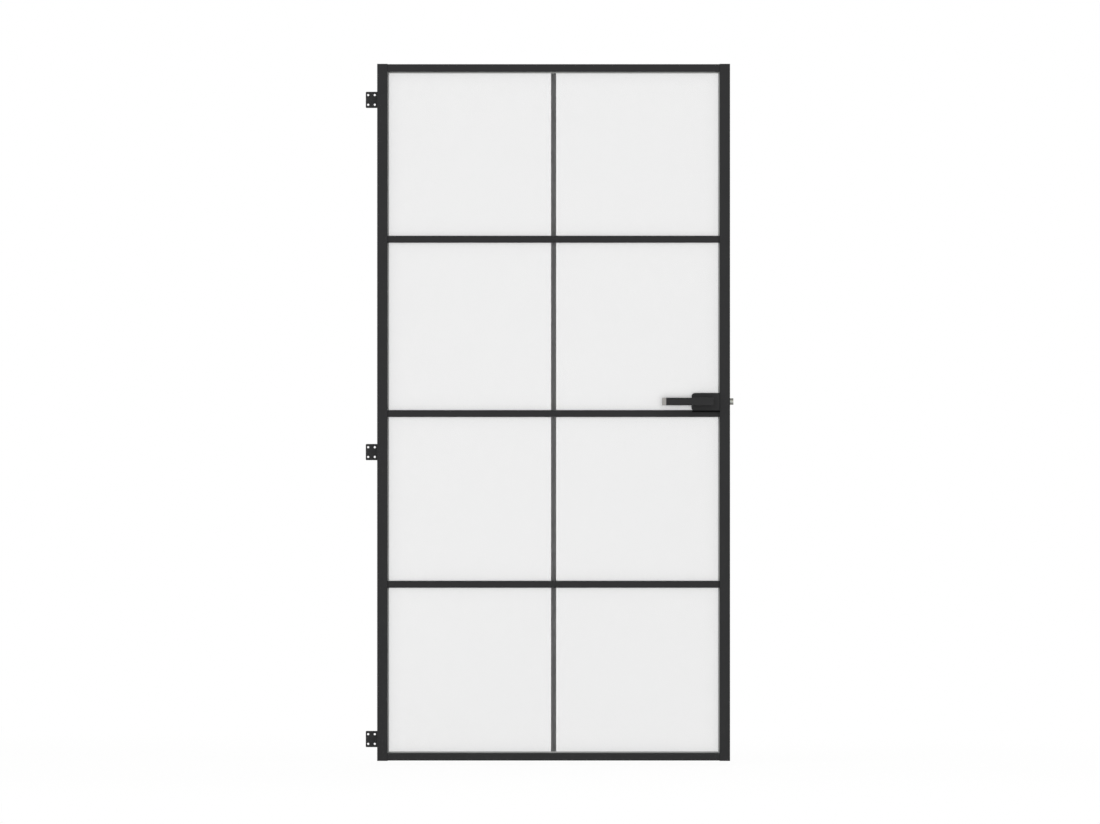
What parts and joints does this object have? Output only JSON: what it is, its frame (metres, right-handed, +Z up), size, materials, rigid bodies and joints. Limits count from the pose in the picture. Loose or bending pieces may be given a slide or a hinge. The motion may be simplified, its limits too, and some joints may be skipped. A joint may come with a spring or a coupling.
{
  "type": "framed glass door leaf",
  "caption": "Slim black aluminium door leaf with etched glass panes between crossbars, surface hinges and a lever lock with a sprung latch.",
  "frame": {"origin": "middle of the bottom hinge's four wall holes, on the mounting face of its wall leaf", "axes": "+X along the leaf from the hinges to the latch, +Y to the side that the leaf opens to, +Z up"},
  "size_m": [1.0634, 0.117, 2.015],
  "materials": {
    "powder_coated_aluminium": "matt black powder coat",
    "etched_glass": "etched rear face",
    "gasket_rubber": "matt grey",
    "cap_plastic": "fine texture",
    "hinge_steel": "matt black powder coat",
    "zinc_plated_steel": "bright zinc",
    "black_screw_steel": "black oxide",
    "lock_zinc": "matt black lacquer",
    "pad_rubber": "matt",
    "bush_nylon": "satin",
    "tip_steel": "satin brushed",
    "chassis_steel": "zinc plated",
    "latch_steel": "satin nickel",
    "insert_nylon": "moulded"
  },
  "bodies": {
    "wall_leaves": {"bottom_hinge_wall_leaf": "hinge_steel", "middle_hinge_wall_leaf": "hinge_steel", "top_hinge_wall_leaf": "hinge_steel", "bottom_hinge_pin": "zinc_plated_steel", "middle_hinge_pin": "zinc_plated_steel", "top_hinge_pin": "zinc_plated_steel", "hinge_washers": "bush_nylon"},
    "leaf": {"hinge_stile": "powder_coated_aluminium", "lock_stile": "powder_coated_aluminium", "top_rail": "powder_coated_aluminium", "bottom_rail": "powder_coated_aluminium", "lower_crossbar": "powder_coated_aluminium", "middle_crossbar": "powder_coated_aluminium", "upper_crossbar": "powder_coated_aluminium", "hinge_stile_top_cap": "cap_plastic", "hinge_stile_bottom_cap": "cap_plastic", "lock_stile_top_cap": "cap_plastic", "lock_stile_bottom_cap": "cap_plastic", "lower_glass": "etched_glass", "lower_middle_glass": "etched_glass", "upper_middle_glass": "etched_glass", "upper_glass": "etched_glass", "lower_gasket": "gasket_rubber", "lower_middle_gasket": "gasket_rubber", "upper_middle_gasket": "gasket_rubber", "upper_gasket": "gasket_rubber", "lower_strip": "powder_coated_aluminium", "lower_middle_strip": "powder_coated_aluminium", "upper_middle_strip": "powder_coated_aluminium", "upper_strip": "powder_coated_aluminium", "frame_screws": "zinc_plated_steel", "bottom_hinge_door_leaf": "hinge_steel", "middle_hinge_door_leaf": "hinge_steel", "top_hinge_door_leaf": "hinge_steel", "hinge_screws": "black_screw_steel", "front_lock_cover": "lock_zinc", "rear_lock_cover": "lock_zinc", "front_lock_pad": "pad_rubber", "rear_lock_pad": "pad_rubber", "front_lever_bush": "bush_nylon", "rear_lever_bush": "bush_nylon", "lock_case_screws": "black_screw_steel", "lock_chassis": "chassis_steel", "chassis_lid": "chassis_steel", "latch_guide": "bush_nylon", "latch_spring": "zinc_plated_steel"},
    "lever_set": {"front_lever": "lock_zinc", "rear_lever": "lock_zinc", "front_lever_tip": "tip_steel", "rear_lever_tip": "tip_steel", "spindle": "zinc_plated_steel", "follower": "chassis_steel", "lever_grub_screws": "zinc_plated_steel"},
    "latch": {"latch_bolt": "latch_steel", "latch_insert": "insert_nylon"}
  },
  "joints": [
    {"name": "door_swing", "type": "hinge", "parent": "wall_leaves", "child": "leaf", "pos_m": [0.0225, 0.005, 0], "axis": [0, 0, 1], "range_deg": [0, 170]},
    {"name": "lever_turn", "type": "hinge", "parent": "leaf", "child": "lever_set", "pos_m": [0.9779, -0.0185, 0.97642], "axis": [0, -1, 0], "range_deg": [0, 45], "stiffness_Nm_per_rad": 1.2, "springref_deg": -51.57},
    {"name": "latch_slide", "type": "slide", "parent": "leaf", "child": "latch", "axis": [-1, 0, 0], "range_m": [0, 0.01], "deforming": ["latch_spring"]}
  ],
  "couplings": [
    {"joint": "latch_slide", "follows": "lever_turn", "m_per_rad": 0.012732}
  ]
}
